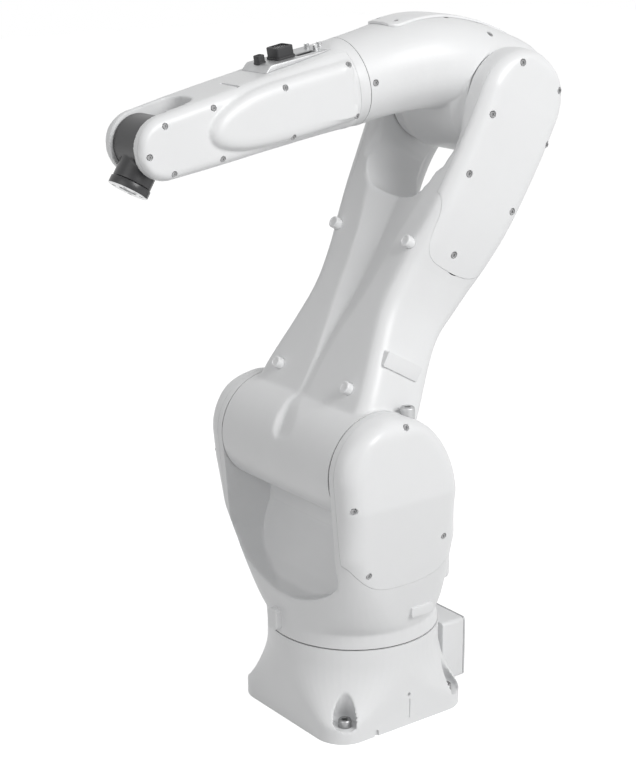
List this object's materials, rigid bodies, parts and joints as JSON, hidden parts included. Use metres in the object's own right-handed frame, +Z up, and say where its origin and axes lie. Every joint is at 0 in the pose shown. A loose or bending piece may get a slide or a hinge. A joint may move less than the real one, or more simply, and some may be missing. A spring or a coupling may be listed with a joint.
{
  "type": "six-axis robot arm",
  "caption": "Six-axis articulated robot arm in white castings on a square base, with a black wrist, a bare tool flange and connectors on its forearm and base.",
  "frame": {"origin": "where the first axis meets the mounting face of the base", "axes": "+X forward, +Y the arm's left, +Z up along the first axis"},
  "size_m": [0.5466, 0.282, 0.822],
  "materials": {
    "white_paint": "semi-gloss",
    "white_cover": "semi-gloss",
    "bare_metal": "machined",
    "dark_metal": "satin",
    "black_plastic": "matte",
    "black_rubber": "matte",
    "black_wrist": "satin"
  },
  "bodies": {
    "base": {"base_air_port_1": "bare_metal", "base_air_port_2": "bare_metal", "base_air_port_3": "bare_metal", "base_air_port_4": "bare_metal", "base_bottom_plate": "dark_metal", "base_casting": "white_paint", "connector_box": "white_paint", "connector_panel": "bare_metal", "power_connector": "black_plastic", "signal_connector": "black_plastic", "waist_bearing": "bare_metal", "waist_motor": "dark_metal", "waist_reducer": "bare_metal", "waist_seal": "black_rubber"},
    "turret": {"shoulder_air_fitting": "bare_metal", "shoulder_bearing": "bare_metal", "shoulder_motor": "dark_metal", "shoulder_reducer": "bare_metal", "turret_casting": "white_paint", "turret_left_cover": "white_cover", "turret_rear_cover": "white_cover", "turret_right_cover": "white_cover"},
    "lower_arm": {"elbow_bearing": "bare_metal", "elbow_motor": "dark_metal", "elbow_reducer": "bare_metal", "guide_stud_lower_left": "white_cover", "guide_stud_lower_right": "white_cover", "guide_stud_upper_left": "white_cover", "guide_stud_upper_right": "white_cover", "lower_arm_casting": "white_paint", "lower_arm_left_cover": "white_cover", "lower_arm_right_cover": "white_cover"},
    "elbow": {"elbow_casting": "white_paint", "elbow_top_cover": "white_cover", "forearm_roll_motor": "dark_metal", "forearm_roll_reducer": "bare_metal"},
    "forearm": {"connector_block": "bare_metal", "forearm_air_port_1": "bare_metal", "forearm_air_port_2": "bare_metal", "forearm_air_port_3": "bare_metal", "forearm_casting": "white_paint", "forearm_left_cover": "white_cover", "forearm_right_cover": "white_cover", "large_connector": "black_plastic", "small_connector": "black_plastic", "wrist_bearing": "bare_metal", "wrist_bend_motor": "dark_metal", "wrist_reducer": "bare_metal", "wrist_roll_motor": "dark_metal"},
    "wrist": {"tool_reducer": "bare_metal", "wrist_housing": "black_wrist"},
    "flange": {"tool_flange": "bare_metal"}
  },
  "joints": [
    {"name": "waist_turn", "type": "hinge", "parent": "base", "child": "turret", "pos_m": [0, 0, 0], "axis": [0, 0, 1], "range_deg": [-170, 170]},
    {"name": "shoulder_swing", "type": "hinge", "parent": "turret", "child": "lower_arm", "pos_m": [0.0515, 0, 0.3364], "axis": [0, 1, 0], "range_deg": [-70, 160]},
    {"name": "elbow_swing", "type": "hinge", "parent": "lower_arm", "child": "elbow", "pos_m": [-0.16679, 0, 0.72349], "axis": [0, -1, 0], "range_deg": [-36, 220]},
    {"name": "forearm_roll", "type": "hinge", "parent": "elbow", "child": "forearm", "pos_m": [0.01608, 0, 0.75194], "axis": [0.9841, 0, -0.1778], "range_deg": [-270, 270]},
    {"name": "wrist_bend", "type": "hinge", "parent": "forearm", "child": "wrist", "pos_m": [0.2679, 0, 0.70644], "axis": [0, 1, 0], "range_deg": [-168, 72]},
    {"name": "tool_roll", "type": "hinge", "parent": "wrist", "child": "flange", "pos_m": [0.2959, 0, 0.66121], "axis": [0.5264, 0, -0.8503], "range_deg": [-360, 360]}
  ]
}
